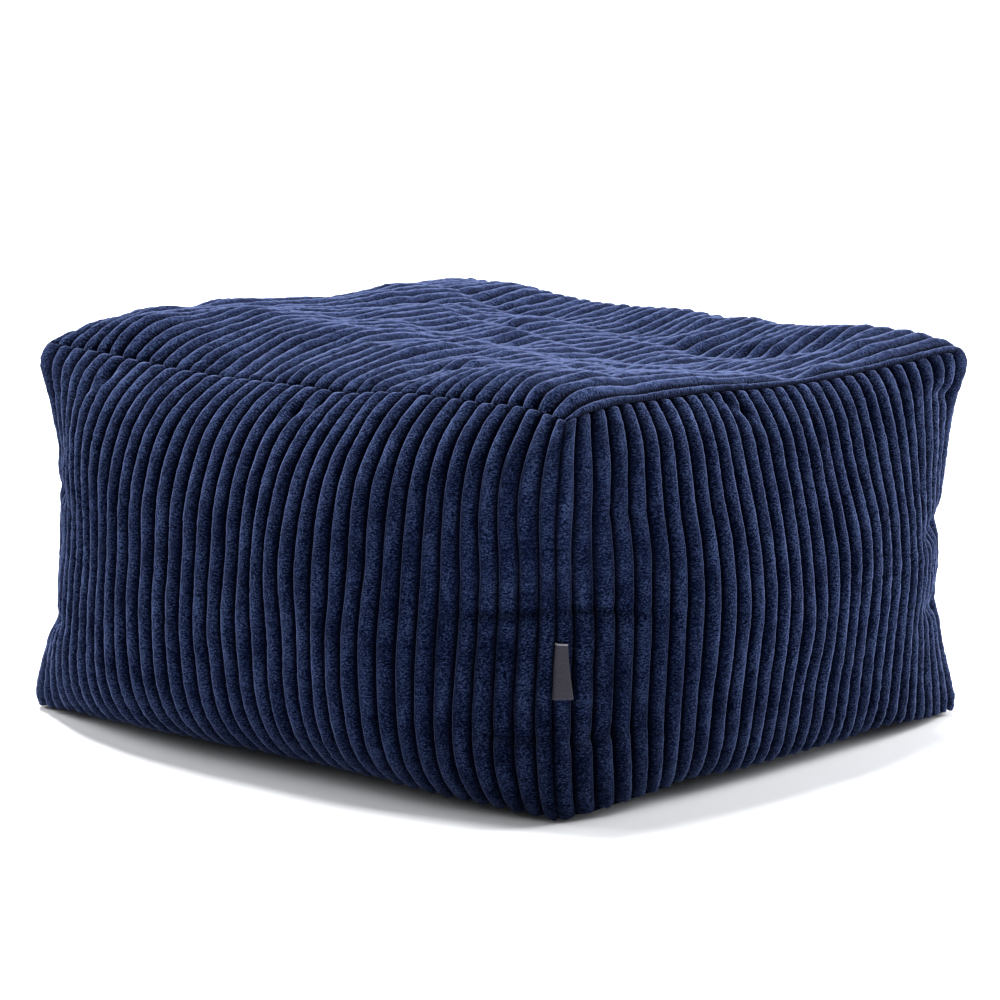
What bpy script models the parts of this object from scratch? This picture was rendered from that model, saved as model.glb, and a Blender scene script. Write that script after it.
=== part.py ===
"""Bean bag footstool: a box-shaped bag of wide-wale cord, filled with beads, with a side label.

Metres, +Z up. The origin is on the ground under the middle of the bag. The front panel faces -Y, the
right panel faces +X, and the label is sewn into the upright seam where those two panels meet.
"""

import bmesh
import bpy
import numpy as np

COLLECTION_NAME = "bean_bag_footstool"

# Cut sizes of the cover, from seam to seam.
TOP_WIDTH = 0.559
TOP_DEPTH = 0.482
SEAM_HEIGHT = 0.300

# How the filling rounds the side panels. A panel turns by these angles between its middle and its seams.
TURN_TO_UPRIGHT_SEAM = 0.785
TURN_TO_LEVEL_SEAM = 1.0

# Tables of the uneven form, in millimetres. Places run from -1 to +1 across the bag, along +X, +Y or up.
TOP_COLUMNS = (-0.9, -0.45, 0.0, 0.45, 0.9)
TOP_HEIGHTS = (
    {"line": -0.9, "heights": (34, 19, 12, 12, 27)},
    {"line": -0.6, "heights": (26, 23, 17, 15, 18)},
    {"line": -0.3, "heights": (23, 16, 11, 7, 10)},
    {"line": 0.0, "heights": (16, 11, 0, -3, 2)},
    {"line": 0.3, "heights": (16, 7, 0, -9, 5)},
    {"line": 0.6, "heights": (11, 0, -6, -4, 9)},
    {"line": 0.9, "heights": (11, 2, 1, 10, 23)},
)
TOP_SMOOTHING = 0.36
SHOULDER_RADIUS = 0.022

SIDE_COLUMNS = (-1.0, -0.5, 0.0, 0.5, 1.0)
SIDE_SWELLS = {
    "front": (
        {"line": -0.7, "heights": (28, 21, 2, 10, 16)},
        {"line": 0.0, "heights": (28, 15, 7, 6, 1)},
        {"line": 0.7, "heights": (32, 26, 6, 8, 20)},
    ),
    "right": (
        {"line": -0.7, "heights": (6, -8, -17, -13, 0)},
        {"line": 0.0, "heights": (0, 0, -3, 0, 12)},
        {"line": 0.7, "heights": (7, -7, -22, -18, -5)},
    ),
    "left": (
        {"line": -0.7, "heights": (-9, -4, -8, -4, 6)},
        {"line": 0.0, "heights": (-11, -4, 2, 5, 8)},
        {"line": 0.7, "heights": (-13, -6, -4, 2, 8)},
    ),
    "back": (
        {"line": -0.7, "heights": (12, 6, 0, 4, 7)},
        {"line": 0.0, "heights": (10, 6, 4, 0, -1)},
        {"line": 0.7, "heights": (14, 8, 2, 12, 27)},
    ),
}
SIDE_SMOOTHING = 0.45

# How far each panel's top seam dips or rises along its length, and how far its base seam lifts at the middle.
SEAM_COLUMNS = (-0.9, -0.45, 0.0, 0.45, 0.9)
SEAM_LEVELS = {
    "front": {"top": (0, -5, -4, 3, 4), "base_lift": 9},
    "right": {"top": (5, 4, -2, -6, -1), "base_lift": 12},
    "back": {"top": (0, -3, -2, -3, 0), "base_lift": 9},
    "left": {"top": (0, -2, -3, -2, 0), "base_lift": 9},
}
SEAM_SMOOTHING = 0.3
BASE_EDGE_RADIUS = 0.032
# How far the base seam bows outwards between the corners.
BASE_BOW = 0.022

# How far each corner is pulled from its place on a true box.
CORNER_PULLS = (
    {"corner": (1, -1, 1), "pull": (5, 5, 2)},
    {"corner": (-1, -1, 1), "pull": (4, 3, 0)},
    {"corner": (-1, 1, 1), "pull": (5, 5, 2)},
    {"corner": (1, 1, 1), "pull": (-3, -3, 0)},
    {"corner": (-1, -1, -1), "pull": (-8, -8, 0)},
    {"corner": (1, 1, -1), "pull": (-4, -4, 0)},
    {"corner": (1, -1, -1), "pull": (1, 1, 0)},
)

# Moves the finished form so that the origin is under the middle of its box.
MIDDLE_SHIFT = (0.0022, 0.0015)

# The soft dips across the upright seams, in metres. Sides are -1 or +1 on X and Y, and a negative depth
# is a puff that stands outwards.
SEAM_DIPS = (
    {"x_side": 1, "y_side": -1, "height": 0.164, "reach": 0.10, "depth": 0.005, "half_height": 0.016},
    {"x_side": 1, "y_side": -1, "height": 0.072, "reach": 0.10, "depth": 0.005, "half_height": 0.014},
    {"x_side": -1, "y_side": -1, "height": 0.085, "reach": 0.10, "depth": 0.003, "half_height": 0.018},
    {"x_side": -1, "y_side": -1, "height": 0.180, "reach": 0.10, "depth": 0.001, "half_height": 0.018},
    {"x_side": 1, "y_side": 1, "height": 0.163, "reach": 0.08, "depth": 0.004, "half_height": 0.012},
    {"x_side": 1, "y_side": 1, "height": 0.100, "reach": 0.10, "depth": 0.002, "half_height": 0.016},
    {"x_side": -1, "y_side": 1, "height": 0.150, "reach": 0.10, "depth": 0.007, "half_height": 0.018},
    {"x_side": -1, "y_side": 1, "height": 0.060, "reach": 0.10, "depth": 0.005, "half_height": 0.016},
    {"x_side": -1, "y_side": -1, "height": 0.288, "reach": 0.06, "depth": -0.008, "half_height": 0.020},
    {"x_side": -1, "y_side": -1, "height": 0.225, "reach": 0.08, "depth": 0.003, "half_height": 0.020},
    {"x_side": 1, "y_side": 1, "height": 0.288, "reach": 0.06, "depth": -0.005, "half_height": 0.022},
)
# How far out from the middle of the bag the dips are centred, as a share of the way to the corner.
DIP_SEAM_PLACE = 0.93

# Mesh of the bag: divisions along each axis, and how far they crowd towards the seams. Beyond AT_SEAM, a
# place on the cube counts as lying on that face.
DIVISIONS = (28, 24, 18)
CROWDING = 0.55
AT_SEAM = 0.9999

# The folded label.
LABEL_WIDTH = 0.0145
LABEL_HEIGHT = 0.0420
LABEL_THICKNESS = 0.0016
LABEL_MIDDLE_HEIGHT = 0.1110
LABEL_CLEARANCE = 0.0006
LABEL_DIVISIONS = (6, 2, 8)
# The share of a side panel's half length that its half height takes near the label.
HEIGHT_SHARE = 0.9

CORD_NAVY = (0.012, 0.022, 0.075, 1.0)
LABEL_GREY = (0.06, 0.065, 0.08, 1.0)


def clear_scene():
    """Remove every object of the start-up scene."""
    for item in list(bpy.data.objects):
        bpy.data.objects.remove(item, do_unlink=True)


def cloth_material(name, colour, roughness):
    """A cloth finish in one colour."""
    material = bpy.data.materials.new(name)
    material.use_nodes = True
    shader = material.node_tree.nodes["Principled BSDF"]
    shader.inputs["Base Color"].default_value = colour
    shader.inputs["Roughness"].default_value = roughness
    shader.inputs["Metallic"].default_value = 0.0
    return material


def run(along, turn):
    """Straight distance covered by a unit of cloth that turns by turn * along ** 1.5."""
    way = np.abs(along)
    distance = way - turn ** 2 * way ** 4 / 8 + turn ** 4 * way ** 7 / 168
    return np.sign(along) * distance


def fall(along, turn):
    """How far that cloth falls back from its middle, by the same distance along it."""
    way = np.abs(along)
    return turn * way ** 2.5 / 2.5 - turn ** 3 * way ** 5.5 / 33 + turn ** 5 * way ** 8.5 / 1020


def smooth_table(columns, rows, smoothing, across, line):
    """Read a table of heights in millimetres at places between its columns and lines, in metres."""
    table_lines = np.repeat([row["line"] for row in rows], len(columns))
    table_columns = np.tile(columns, len(rows))
    heights = np.ravel([row["heights"] for row in rows]) / 1000.0
    mean = heights.mean()

    def closeness(x, y):
        spans = np.subtract.outer(x, table_columns) ** 2 + np.subtract.outer(y, table_lines) ** 2
        return np.exp(-spans / (2 * smoothing ** 2))

    matrix = closeness(table_columns, table_lines) + 0.001 * np.eye(len(heights))
    weights = np.linalg.solve(matrix, heights - mean)
    return mean + closeness(across, line) @ weights


def top_height(a, b):
    """Height of the top panel over its seam, with the soft shoulder that rises from the seam."""
    swell = smooth_table(TOP_COLUMNS, TOP_HEIGHTS, TOP_SMOOTHING, a, b)
    to_x_seam = (1 - np.abs(a)) * TOP_WIDTH / 2
    to_y_seam = (1 - np.abs(b)) * TOP_DEPTH / 2
    shoulder = (1 - np.exp(-to_x_seam / SHOULDER_RADIUS)) * (1 - np.exp(-to_y_seam / SHOULDER_RADIUS))
    return swell * shoulder


def base_height(a, b):
    """Height of the base panel over the ground: flat, with a seam that lifts between the corners."""
    lift = np.zeros_like(a)
    for name, side, gap, along in (
            ("front", b < 0, (1 + b) * TOP_DEPTH / 2, a),
            ("back", b > 0, (1 - b) * TOP_DEPTH / 2, a),
            ("left", a < 0, (1 + a) * TOP_WIDTH / 2, b),
            ("right", a > 0, (1 - a) * TOP_WIDTH / 2, b)):
        rise = SEAM_LEVELS[name]["base_lift"] / 1000.0 * (1 - along ** 4)
        lift = np.maximum(lift, np.where(side, rise * np.clip(1 - gap / BASE_EDGE_RADIUS, 0, 1) ** 2, 0))
    return lift


def seam_level(a, b, c):
    """How far the level seams lift or dip a place near them."""
    flat = np.zeros_like(a)
    level = np.zeros_like(a)
    for name, nearness, along in (
            ("front", (1 - b) / 2, a), ("back", (1 + b) / 2, a),
            ("left", (1 - a) / 2, b), ("right", (1 + a) / 2, b)):
        row = ({"line": 0.0, "heights": SEAM_LEVELS[name]["top"]},)
        from_corners = 1 - along ** 12
        level += smooth_table(SEAM_COLUMNS, row, SEAM_SMOOTHING, along, flat) * from_corners * nearness ** 8
    return level * ((1 + c) / 2) ** 4


def side_swells(a, b, c):
    """How far the side panels swell beyond their even form, along X and along Y."""
    swell = {name: smooth_table(SIDE_COLUMNS, rows, SIDE_SMOOTHING, b if name in ("left", "right") else a, c)
             for name, rows in SIDE_SWELLS.items()}
    fullness = panel_fullness(c)
    along_x = np.where(a < 0, swell["left"], swell["right"]) * fullness
    along_y = np.where(b < 0, swell["front"], swell["back"]) * fullness
    return along_x, along_y


def base_bow(a, b, c):
    """How far the lower part of the bag bows outwards between its corners, along X and along Y."""
    low = BASE_BOW * ((1 - c) / 2) ** 5
    along_x = np.sign(a) * np.abs(a) ** 4 * (1 - b ** 6) * low
    along_y = np.sign(b) * np.abs(b) ** 4 * (1 - a ** 6) * low
    return along_x, along_y


def panel_fullness(c):
    """How full a side panel is at a height: 0 at its level seams and 1 at the middle."""
    return 1 - fall(c, TURN_TO_LEVEL_SEAM) / fall(1.0, TURN_TO_LEVEL_SEAM)


def even_sides(a, b, c):
    """The side panels, bulged and drawn in at the upright seams."""
    turn = TURN_TO_UPRIGHT_SEAM * panel_fullness(c)
    on_front_or_back = np.abs(b) > AT_SEAM
    swell_x, swell_y = side_swells(a, b, c)
    corner_x = TOP_WIDTH / 2 * run(1.0, turn)
    corner_y = TOP_DEPTH / 2 * run(1.0, turn)
    bulge_x = TOP_DEPTH / 2 * (fall(1.0, turn) - fall(b, turn))
    bulge_y = TOP_WIDTH / 2 * (fall(1.0, turn) - fall(a, turn))
    along_front = TOP_WIDTH / 2 * run(a, turn) + np.sign(a) * swell_x * np.abs(a) ** 4
    along_side = TOP_DEPTH / 2 * run(b, turn) + np.sign(b) * swell_y * np.abs(b) ** 4
    x = np.where(on_front_or_back, along_front, np.sign(a) * (corner_x + bulge_x + swell_x))
    y = np.where(on_front_or_back, np.sign(b) * (corner_y + bulge_y + swell_y), along_side)
    z = SEAM_HEIGHT / 2 * (1 + run(c, TURN_TO_LEVEL_SEAM) / run(1.0, TURN_TO_LEVEL_SEAM))
    return x, y, z + base_height(a, b) * ((1 - c) / 2) ** 6


def bag_surface(a, b, c):
    """Places on the bag for places on a cube from -1 to +1; a runs along X, b along Y and c along Z."""
    on_top = c > AT_SEAM
    on_base = c < -AT_SEAM
    on_end = on_top | on_base
    x, y, z = even_sides(a, b, c)
    x = np.where(on_end, TOP_WIDTH / 2 * a, x)
    y = np.where(on_end, TOP_DEPTH / 2 * b, y)
    z = np.where(on_top, SEAM_HEIGHT + top_height(a, b), z)
    z = np.where(on_base, base_height(a, b), z)
    bow_x, bow_y = base_bow(a, b, c)
    x, y, z = x + bow_x, y + bow_y, z + seam_level(a, b, c)
    for row in CORNER_PULLS:
        side_x, side_y, side_z = row["corner"]
        nearness = ((1 + a * side_x) * (1 + b * side_y) * (1 + c * side_z) / 8) ** 2
        pull_x, pull_y, pull_z = row["pull"]
        x = x + nearness * pull_x / 1000.0
        y = y + nearness * pull_y / 1000.0
        z = z + nearness * pull_z / 1000.0
    for dip in SEAM_DIPS:
        seam_x = dip["x_side"] * TOP_WIDTH / 2 * DIP_SEAM_PLACE
        seam_y = dip["y_side"] * TOP_DEPTH / 2 * DIP_SEAM_PLACE
        nearness = np.exp(-((x - seam_x) ** 2 + (y - seam_y) ** 2) / dip["reach"] ** 2)
        level = np.exp(-((z - dip["height"]) / dip["half_height"]) ** 2)
        pull = dip["depth"] * nearness * level * np.sqrt(0.5)
        x = x - dip["x_side"] * pull
        y = y - dip["y_side"] * pull
    return np.column_stack((x + MIDDLE_SHIFT[0], y + MIDDLE_SHIFT[1], z))


def crowd(places):
    """Move evenly spaced places from -1 to +1 closer together near the two ends."""
    return (1 - CROWDING) * places + CROWDING * np.sin(places * np.pi / 2)


def divided_cube(divisions):
    """A cube mesh from -1 to +1 whose edges are divided by the given count along each axis."""
    bm = bmesh.new()
    bmesh.ops.create_cube(bm, size=2.0)
    for axis, count in enumerate(divisions):
        along = [edge for edge in bm.edges
                 if abs(edge.verts[0].co[axis] - edge.verts[1].co[axis]) > 1.0]
        bmesh.ops.subdivide_edges(bm, edges=along, cuts=count - 1, use_grid_fill=True)
    return bm


def finish_mesh(bm, name, material, collection):
    """Turn the bmesh into a smooth-shaded object with its material."""
    bmesh.ops.recalc_face_normals(bm, faces=bm.faces)
    mesh = bpy.data.meshes.new(name)
    bm.to_mesh(mesh)
    bm.free()
    mesh.materials.append(material)
    mesh.shade_smooth()
    item = bpy.data.objects.new(name, mesh)
    collection.objects.link(item)
    return item


def make_filled_bag(collection):
    """The filled cover: crowned top, bulged sides drawn in at the upright seams, flat base."""
    bm = divided_cube(DIVISIONS)
    cube_places = crowd(np.array([vert.co for vert in bm.verts]))
    for vert, place in zip(bm.verts, bag_surface(*cube_places.T)):
        vert.co = place
    return finish_mesh(bm, "filled_bag", cloth_material("cord", CORD_NAVY, 0.9), collection)


def right_panel(from_seam, height_place):
    """Places on the right panel, by distance from the label's seam and place up the panel, with normals."""
    step = 0.01
    b = -1 + np.maximum(from_seam, 0.0001) / (TOP_DEPTH / 2)
    ones = np.ones_like(b)
    place = bag_surface(ones, b, height_place)
    along = bag_surface(ones, b + step, height_place) - place
    up = bag_surface(ones, b, height_place + step) - place
    normal = np.cross(along, up)
    return place, normal / np.linalg.norm(normal, axis=1, keepdims=True)


def make_side_label(collection):
    """The folded label, lying on the right panel from the upright seam."""
    bm = divided_cube(LABEL_DIVISIONS)
    cube_places = np.array([vert.co for vert in bm.verts])
    across, thickness, up = cube_places.T
    half_panel = SEAM_HEIGHT / 2
    height_place = (LABEL_MIDDLE_HEIGHT - half_panel + up * LABEL_HEIGHT / 2) / half_panel * HEIGHT_SHARE
    rounding = np.sqrt(np.clip(1 - np.maximum(across, 0) ** 8, 0.1, 1))
    place, normal = right_panel((across + 1) / 2 * LABEL_WIDTH, height_place)
    lift = LABEL_CLEARANCE + LABEL_THICKNESS / 2 * (1 - thickness * rounding)
    for vert, point in zip(bm.verts, place + normal * lift[:, None]):
        vert.co = point
    return finish_mesh(bm, "side_label", cloth_material("label_tape", LABEL_GREY, 0.7), collection)


def main():
    """Build the footstool."""
    clear_scene()
    collection = bpy.data.collections.new(COLLECTION_NAME)
    bpy.context.scene.collection.children.link(collection)
    make_filled_bag(collection)
    make_side_label(collection)


main()
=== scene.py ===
"""Bean bag footstool: the wide-wale cord cover, its seams and its side label, on a plain pale stage.

Lengths are in metres and +Z is up. The front panel faces -Y, the right panel faces +X, and the label is
sewn into the upright seam where those two panels meet.
"""

import math
from collections import namedtuple

import bmesh
import bpy
import numpy as np
from bpy.props import FloatProperty, FloatVectorProperty, PointerProperty
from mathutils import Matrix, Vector


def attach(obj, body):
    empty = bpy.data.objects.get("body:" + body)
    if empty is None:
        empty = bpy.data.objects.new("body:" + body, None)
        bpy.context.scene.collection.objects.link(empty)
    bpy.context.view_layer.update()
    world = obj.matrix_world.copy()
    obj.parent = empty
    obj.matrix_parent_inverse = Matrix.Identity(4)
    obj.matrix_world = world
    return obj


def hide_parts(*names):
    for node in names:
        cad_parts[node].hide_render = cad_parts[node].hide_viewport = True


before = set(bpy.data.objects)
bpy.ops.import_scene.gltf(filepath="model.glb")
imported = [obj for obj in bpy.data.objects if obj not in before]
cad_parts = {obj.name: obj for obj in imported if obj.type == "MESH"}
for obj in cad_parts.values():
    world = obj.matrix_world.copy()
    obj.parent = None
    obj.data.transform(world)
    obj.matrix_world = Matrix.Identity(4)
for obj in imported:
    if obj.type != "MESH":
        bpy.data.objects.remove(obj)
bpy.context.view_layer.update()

bl_info = {
    "name": "Bean bag footstool",
    "version": (1, 0, 0),
    "blender": (4, 5, 0),
    "location": "3D View > Sidebar > Footstool",
    "description": "Builds the cord cover and side label of a bean bag footstool",
    "category": "Object",
}

BODY = "root"

# Cut sizes of the cover, from seam to seam, and how far the filling turns a side panel towards its seams.
TOP_WIDTH = 0.559
TOP_DEPTH = 0.482
SEAM_HEIGHT = 0.300
SIDE_LENGTH = 0.345
TURN_TO_UPRIGHT_SEAM = 0.785
TURN_TO_LEVEL_SEAM = 1.0

# The uneven form, in millimetres. Places run from -1 to +1 across the bag, along +X, +Y or up.
TOP_COLUMNS = (-0.9, -0.45, 0.0, 0.45, 0.9)
TOP_HEIGHTS = (
    {"line": -0.9, "heights": (34, 19, 12, 12, 27)},
    {"line": -0.6, "heights": (26, 23, 17, 15, 18)},
    {"line": -0.3, "heights": (23, 16, 11, 7, 10)},
    {"line": 0.0, "heights": (16, 11, 0, -3, 2)},
    {"line": 0.3, "heights": (16, 7, 0, -9, 5)},
    {"line": 0.6, "heights": (11, 0, -6, -4, 9)},
    {"line": 0.9, "heights": (11, 2, 1, 10, 23)},
)
TOP_SMOOTHING = 0.36
SHOULDER_RADIUS = 0.022

SIDE_COLUMNS = (-1.0, -0.5, 0.0, 0.5, 1.0)
SIDE_SWELLS = {
    "front": (
        {"line": -0.7, "heights": (28, 21, 2, 10, 16)},
        {"line": 0.0, "heights": (28, 15, 7, 6, 1)},
        {"line": 0.7, "heights": (32, 26, 6, 8, 20)},
    ),
    "right": (
        {"line": -0.7, "heights": (6, -8, -17, -13, 0)},
        {"line": 0.0, "heights": (0, 0, -3, 0, 12)},
        {"line": 0.7, "heights": (7, -7, -22, -18, -5)},
    ),
    "left": (
        {"line": -0.7, "heights": (-9, -4, -8, -4, 6)},
        {"line": 0.0, "heights": (-11, -4, 2, 5, 8)},
        {"line": 0.7, "heights": (-13, -6, -4, 2, 8)},
    ),
    "back": (
        {"line": -0.7, "heights": (12, 6, 0, 4, 7)},
        {"line": 0.0, "heights": (10, 6, 4, 0, -1)},
        {"line": 0.7, "heights": (14, 8, 2, 12, 27)},
    ),
}
SIDE_SMOOTHING = 0.45

# How far each panel's top seam dips or rises along its length, and how far its base seam lifts at the
# middle, in millimetres.
SEAM_COLUMNS = (-0.9, -0.45, 0.0, 0.45, 0.9)
SEAM_LEVELS = {
    "front": {"top": (0, -5, -4, 3, 4), "base_lift": 9},
    "right": {"top": (5, 4, -2, -6, -1), "base_lift": 12},
    "back": {"top": (0, -3, -2, -3, 0), "base_lift": 9},
    "left": {"top": (0, -2, -3, -2, 0), "base_lift": 9},
}
SEAM_SMOOTHING = 0.3
BASE_EDGE_RADIUS = 0.032
# How far the base seam bows outwards between the corners.
BASE_BOW = 0.022

# How far each corner is pulled from its place on a true box, in millimetres.
CORNER_PULLS = (
    {"corner": (1, -1, 1), "pull": (5, 5, 2)},
    {"corner": (-1, -1, 1), "pull": (4, 3, 0)},
    {"corner": (-1, 1, 1), "pull": (5, 5, 2)},
    {"corner": (1, 1, 1), "pull": (-3, -3, 0)},
    {"corner": (-1, -1, -1), "pull": (-8, -8, 0)},
    {"corner": (1, 1, -1), "pull": (-4, -4, 0)},
    {"corner": (1, -1, -1), "pull": (1, 1, 0)},
)

# Moves the finished form so that the origin is under the middle of its box.
MIDDLE_SHIFT = (0.0022, 0.0015)

# The soft dips across the upright seams, in metres. Sides are -1 or +1 on X and Y, and a negative depth
# is a puff that stands outwards. The last value is how far out the dips are centred, as a share of the way
# from the middle of the bag to its corner.
SEAM_DIPS = (
    {"x_side": 1, "y_side": -1, "height": 0.164, "reach": 0.10, "depth": 0.005, "half_height": 0.016},
    {"x_side": 1, "y_side": -1, "height": 0.072, "reach": 0.10, "depth": 0.005, "half_height": 0.014},
    {"x_side": -1, "y_side": -1, "height": 0.085, "reach": 0.10, "depth": 0.003, "half_height": 0.018},
    {"x_side": -1, "y_side": -1, "height": 0.180, "reach": 0.10, "depth": 0.001, "half_height": 0.018},
    {"x_side": 1, "y_side": 1, "height": 0.163, "reach": 0.08, "depth": 0.004, "half_height": 0.012},
    {"x_side": 1, "y_side": 1, "height": 0.100, "reach": 0.10, "depth": 0.002, "half_height": 0.016},
    {"x_side": -1, "y_side": 1, "height": 0.150, "reach": 0.10, "depth": 0.007, "half_height": 0.018},
    {"x_side": -1, "y_side": 1, "height": 0.060, "reach": 0.10, "depth": 0.005, "half_height": 0.016},
    {"x_side": -1, "y_side": -1, "height": 0.288, "reach": 0.06, "depth": -0.008, "half_height": 0.020},
    {"x_side": -1, "y_side": -1, "height": 0.225, "reach": 0.08, "depth": 0.003, "half_height": 0.020},
    {"x_side": 1, "y_side": 1, "height": 0.288, "reach": 0.06, "depth": -0.005, "half_height": 0.022},
)
DIP_SEAM_PLACE = 0.93

# Each panel as cut: its width across the wales, its length along them, and the width of its first wale
# as a share of a full one. Steps are mesh divisions across a wale, and rows along the whole panel. The
# ripple is how far short waves lift and sink the cloth.
Panel = namedtuple("Panel", "width length first steps rows ripple")
PANELS = {
    "front": Panel(TOP_WIDTH, SIDE_LENGTH, first=1.2, steps=12, rows=150, ripple=0.0007),
    "right": Panel(TOP_DEPTH, SIDE_LENGTH, first=0.85, steps=12, rows=150, ripple=0.0007),
    "back": Panel(TOP_WIDTH, SIDE_LENGTH, first=0.9, steps=12, rows=150, ripple=0.0007),
    "left": Panel(TOP_DEPTH, SIDE_LENGTH, first=0.7, steps=12, rows=150, ripple=0.0007),
    "top": Panel(TOP_WIDTH, TOP_DEPTH, first=0.65, steps=12, rows=200, ripple=0.0038),
    "base": Panel(TOP_WIDTH, TOP_DEPTH, first=0.65, steps=6, rows=90, ripple=0.0),
}

# Where the middle of the folded label is up the right panel's first seam. The height share turns a share of
# the seam's half height into a share of the panel's half length.
LABEL_MIDDLE_HEIGHT = 0.1090
HEIGHT_SHARE = 0.9
# How far the label stands off the cloth, how soon it rises to that from the seam, how far its upper free
# corner curls away, how far apart its two layers are, how long the turn of its fold is, how wide the light
# thread along its upper end is, and its mesh divisions.
LABEL_REST = 0.0020
LABEL_RISE = 0.0012
LABEL_CURL = 0.0012
LABEL_LAYER_GAP = 0.0008
LABEL_FOLD_TURN = 0.0008
LABEL_END_THREAD = 0.0012
LABEL_STEPS = 44
LABEL_ROWS = 24

# The narrowest wale at a seam, as a share of a full one, and how far the mesh's rows crowd towards a
# panel's ends.
NARROWEST_WALE = 0.3
ROW_CROWDING = 0.55

# How the cloth behaves near a seam. The two panels share one outward direction within SEAM_BLEND, and the
# higher SEAM_SHARPNESS is, the closer to its own panel's that direction stays. Ripples and creases fade
# within SEAM_CALM, and the seam draws the cloth in within TUCK_REACH. The cloth beside an upright seam
# stands proud within FULLNESS_REACH, but not at its ends, and wales stray only beyond STRAY_MARGIN.
SEAM_BLEND = 0.006
SEAM_SHARPNESS = 15
SEAM_CALM = 0.012
TUCK_REACH = 0.003
FULLNESS_REACH = 0.012
FULLNESS_END = 0.02
STRAY_MARGIN = 0.02

# The base lies flat: its wales rise only beyond this far from its seams, over this width, and no cloth is
# lower than the clearance from the ground.
BASE_FLAT_EDGE = 0.010
BASE_FLAT_FADE = 0.030
GROUND_CLEARANCE = 0.0004

# Sizes of the soft unevenness, in metres: of lumps, of small shifts, and of waves across and along the
# wales, each with its share of the whole. A wale that is narrower than a full one is also lower, by its
# share of the full width raised to NARROW_WALE_POWER.
LUMP_SIZE = 0.060
SHIFT_SIZE = 0.022
Waves = namedtuple("Waves", "across along share")
STRAYING = (Waves(0.05, 0.09, 1.0), Waves(0.02, 0.035, 0.3))
WALE_HEIGHTS = Waves(0.011, 0.06, 0.06)
TALLEST_WALE = 1.05
NARROW_WALE_POWER = 0.25
RIPPLES = Waves(0.034, 0.040, 1.0)
CRUSHING = (Waves(0.0035, 0.0045, 1.0), Waves(0.0017, 0.0024, 0.6))
NOISE_CELLS = 64
FIELD_CELLS = 32

# The finish of the cord: how many tufts, crushed spots and brushed patches there are to a metre, across and
# along the wales, the shares of crushed spots and of patches in the shading, where on its scale the pile is
# dark, middling and light, and how far its tufts stand out. Then where the pile comes out of the groove's
# dark weave and its painted shade, and where its painted side sheen starts and is full, by height of pile
# and by how side-on it is seen.
TUFTS_PER_METRE = (640.0, 980.0, 0.0)
CRUSHED_PER_METRE = (460.0, 700.0, 0.0)
PATCHES_PER_METRE = (56.0, 30.0, 0.0)
CRUSHED_SHARE = 0.6
PATCHES_SHARE = 0.3
PILE_SHADES = (0.39, 0.50, 0.61)
PILE_RELIEF = 0.0022
PILE_OUT_OF_GROOVE_SHADE = (0.40, 0.97)
SHEEN_BY_HEIGHT = (0.15, 0.45)
SHEEN_BY_SIDE = (0.60, 0.92)
MOST_SHEEN = 0.85

# The finish of the label's tape: its threads to a metre, and how far they stand out.
THREADS_PER_METRE = (1800.0, 900.0, 0.0)
THREAD_RELIEF = 0.0004

# The floor, then the lights: the places of the two at the sides, the point they face and their size, the
# left one's power as a share of the right one's, and the overhead one's direction and softness in degrees.
FLOOR_COLOUR = (0.58, 0.59, 0.61)
LIGHT_AIM = (0.0, 0.0, 0.2)
LEFT_LIGHT_PLACE = (-2.6, -1.1, 1.2)
RIGHT_LIGHT_PLACE = (1.2, 2.6, 1.2)
SIDE_LIGHT_SIZE = (1.4, 1.8)
LEFT_LIGHT_SHARE = 0.52
OVERHEAD_DIRECTION = (0.36, -0.18, -1.0)
OVERHEAD_SOFTNESS = 24

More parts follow.
